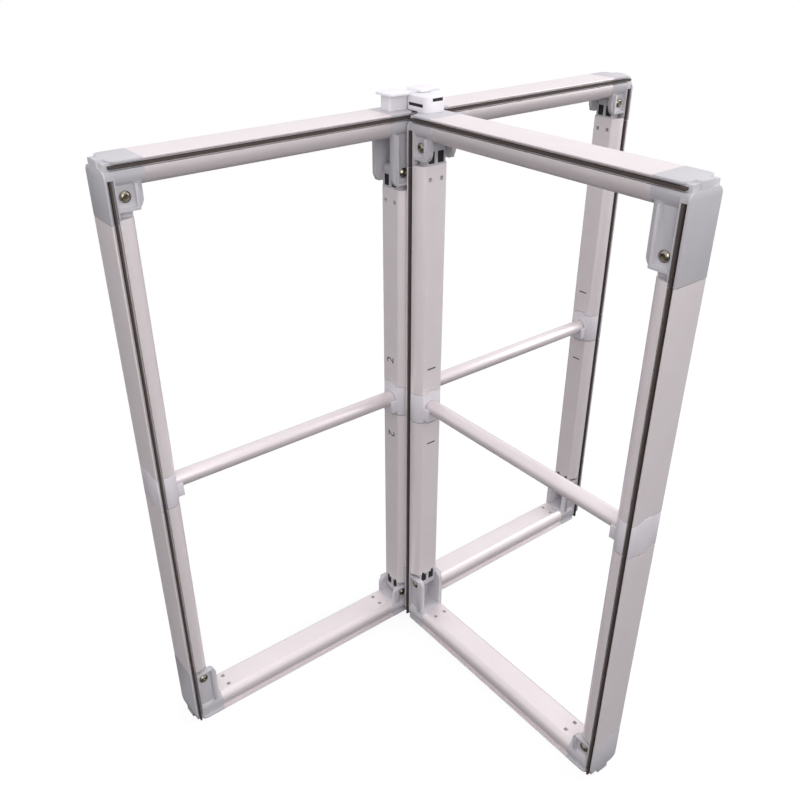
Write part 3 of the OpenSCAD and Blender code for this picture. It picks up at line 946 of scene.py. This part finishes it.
# %% Make the floor
FLOOR_WIDE = 14
FLOOR_DROP = 0.5 * MM
FADE_FROM = 0.8
FADE_TO = 2.0
FADE_LOW = 0.88
bpy.ops.mesh.primitive_plane_add(size=FLOOR_WIDE, location=(0, 0, -FLOOR_DROP))
ground = bpy.context.object
ground.name = "pale_floor"


def pale_floor():
    material, tree, shader, place = surface("pale studio floor")
    seen = add(tree, "ShaderNodeLightPath").outputs["Is Camera Ray"]
    shade = add(tree, "ShaderNodeMix", {"data_type": "RGBA"}, {
        0: seen, 6: linear("#454446"), 7: linear("#fbfbfb")})
    tree.links.new(shade.outputs[2], shader.inputs["Base Color"])
    shader.inputs["Roughness"].default_value = 0.9
    away = add(tree, "ShaderNodeVectorMath", {"operation": "LENGTH"}, {"Vector": place})
    white_part = add(tree, "ShaderNodeMapRange", links={
        "Value": away.outputs["Value"], "From Min": FADE_FROM, "From Max": FADE_TO,
        "To Min": FADE_LOW, "To Max": 1.0})
    share = add(tree, "ShaderNodeMath", {"operation": "MULTIPLY"}, {
        0: seen, 1: white_part.outputs["Result"]})
    glow = add(tree, "ShaderNodeEmission", links={"Color": (1, 1, 1, 1), "Strength": 1.0})
    mix = add(tree, "ShaderNodeMixShader", links={
        0: share.outputs[0], 1: shader.outputs["BSDF"], 2: glow.outputs["Emission"]})
    out = next(node for node in tree.nodes if node.bl_idname == "ShaderNodeOutputMaterial")
    tree.links.new(mix.outputs["Shader"], out.inputs["Surface"])
    return material


ground.data.materials.append(pale_floor())
print("floor", FLOOR_WIDE, "m wide")

# %% [markdown]
# ## Light
# An even sky gives all faces their plain level, as in a light tent, and the camera sees it as white.
# Three large soft lamps above, to the right and in front draw the form. All three look at the middle
# of the wall.

# %% The sky
SKY = 1.1


def even_sky(world):
    world.use_nodes = True
    tree = world.node_tree
    tree.nodes.clear()
    seen = add(tree, "ShaderNodeLightPath").outputs["Is Camera Ray"]
    sky = add(tree, "ShaderNodeBackground", links={"Color": linear("#f6f5f7"), "Strength": SKY})
    shown = add(tree, "ShaderNodeBackground", links={"Color": (1, 1, 1, 1), "Strength": 1.0})
    mix = add(tree, "ShaderNodeMixShader", links={
        0: seen, 1: sky.outputs["Background"], 2: shown.outputs["Background"]})
    add(tree, "ShaderNodeOutputWorld", links={"Surface": mix.outputs["Shader"]})


studio = bpy.data.worlds.new("studio")
bpy.context.scene.world = studio
even_sky(studio)
print("sky of strength", SKY)

# %% The lamps
MIDDLE = Vector((0, 0.1, 0.45))
PANEL_WIDE = 1.0


def panel(name, at, watts):
    light = bpy.data.lights.new(name, "AREA")
    light.shape = "SQUARE"
    light.size = PANEL_WIDE
    light.energy = watts
    lamp = linked(name, light)
    lamp.location = at
    lamp.rotation_euler = (MIDDLE - Vector(at)).to_track_quat("-Z", "Y").to_euler()


panel("soft_top", (-0.2, -0.1, 2.0), 2.5)
panel("soft_right", (1.6, -0.5, 1.2), 14)
panel("soft_front", (-0.9, -1.3, 1.2), 9.5)
print("lamps", [light.name for light in bpy.data.lights])

# %% [markdown]
# ## The camera
# The camera was worked out from the corners of the frames in the photograph. Its shift is only the
# photograph's framing. The view transform is Standard, so that a colour renders as it is written.

# %% Place the camera
CAMERA_AT = (-0.66409, -0.63691, 0.96947)
CAMERA_DEGREES = (59.642, 0.653, -36.975)
camera = linked("camera", bpy.data.cameras.new("camera"))
camera.location = CAMERA_AT
camera.rotation_euler = [math.radians(angle) for angle in CAMERA_DEGREES]
camera.data.lens = 38.526
camera.data.shift_x = 0.0252
camera.data.shift_y = 0.0185
bpy.context.scene.camera = camera
bpy.context.scene.view_settings.view_transform = "Standard"
print("camera", round(camera.location.length, 2), "m from the foot of the wall")
